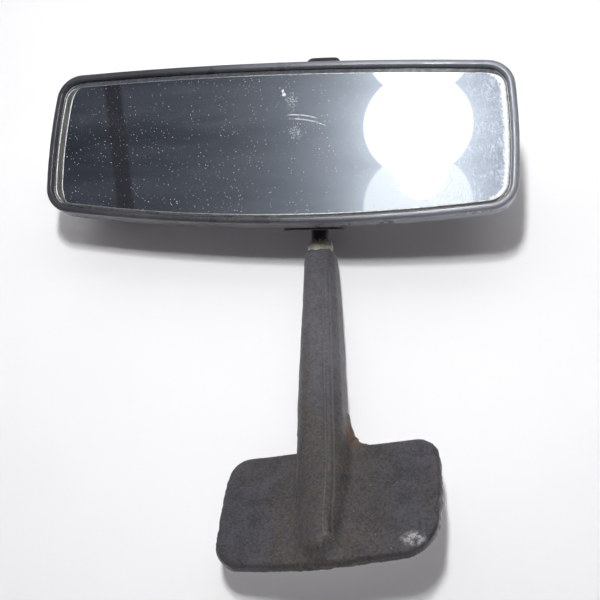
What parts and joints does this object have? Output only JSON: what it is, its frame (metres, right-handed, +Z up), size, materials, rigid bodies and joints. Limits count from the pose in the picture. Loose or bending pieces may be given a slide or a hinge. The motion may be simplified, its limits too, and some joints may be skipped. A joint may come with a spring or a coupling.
{
  "type": "interior rearview mirror",
  "caption": "Header-mounted interior rearview mirror: bowed oblong head on a ball joint, tapered covered arm, broad foot, and a lever that tips the prism glass for night",
  "frame": {"origin": "centre of the foot's mounting face, where it lies on the windscreen header", "axes": "+Z up and +Y forward to the windscreen as hung in a car, +X to the right as the occupants see it; the glass faces -Y"},
  "size_m": [0.2173, 0.0921, 0.2305],
  "materials": {
    "zinc_steel": "dull zinc plate with some stains",
    "black_rod": "smooth black enamel on a steel rod",
    "felt": "beige felt, frayed at its open end",
    "cover_rubber": "faded dark grey grained rubber with brown dust",
    "nylon": "natural nylon",
    "spring_steel": "blued spring steel",
    "carrier_plastic": "black moulded plastic",
    "screw_steel": "plated steel",
    "pin_steel": "ground steel",
    "housing_plastic": "black moulded plastic, slightly grained",
    "bezel_plastic": "smooth satin black plastic",
    "mirror_glass": "silvered prism glass with ground edges",
    "foam": "dark foam",
    "lever_plastic": "satin black plastic"
  },
  "bodies": {
    "mount_arm": {"base_plate": "zinc_steel", "stem_saddle": "zinc_steel", "saddle_rivets": "zinc_steel", "ball_stem": "black_rod", "stem_sleeve": "felt", "arm_cover": "cover_rubber"},
    "seat": {"ball_seat": "nylon"},
    "spring": {"spring_cup": "spring_steel"},
    "carrier": {"socket_carrier": "carrier_plastic", "socket_cap": "carrier_plastic", "clamp_screws": "screw_steel", "hinge_pins": "pin_steel"},
    "head": {"housing": "housing_plastic", "bezel": "bezel_plastic", "prism_glass": "mirror_glass", "glass_pads": "foam", "lever_pin": "pin_steel", "detent_spring": "spring_steel", "spring_screw": "screw_steel"},
    "lever": {"dip_lever": "lever_plastic", "crank_pin": "pin_steel"}
  },
  "joints": [
    {"name": "head_swivel", "type": "hinge", "parent": "mount_arm", "child": "seat", "pos_m": [0, 0.0436, -0.15766], "axis": [0, -0.3827, 0.9239], "range_deg": [-8, 10]},
    {"name": "head_pitch", "type": "hinge", "parent": "seat", "child": "spring", "pos_m": [0, 0.0436, -0.15766], "axis": [0.9949, -0.0934, -0.0387], "range_deg": [-5, 8]},
    {"name": "head_roll", "type": "hinge", "parent": "spring", "child": "carrier", "pos_m": [0, 0.0436, -0.15766], "axis": [0.0934, 0.9956, -0.0018], "range_deg": [-8, 3]},
    {"name": "night_tip", "type": "hinge", "parent": "carrier", "child": "head", "pos_m": [0.00255, 0.03536, -0.13792], "axis": [-0.9819, 0.0924, 0.1653], "range_deg": [0, 5.16]},
    {"name": "lever_flip", "type": "hinge", "parent": "head", "child": "lever", "pos_m": [-0.00938, 0.04242, -0.18247], "axis": [-0.9819, 0.0924, 0.1653], "range_deg": [0, 44.1]}
  ],
  "couplings": [
    {"joint": "lever_flip", "follows": "night_tip", "ratio": 8.547}
  ]
}
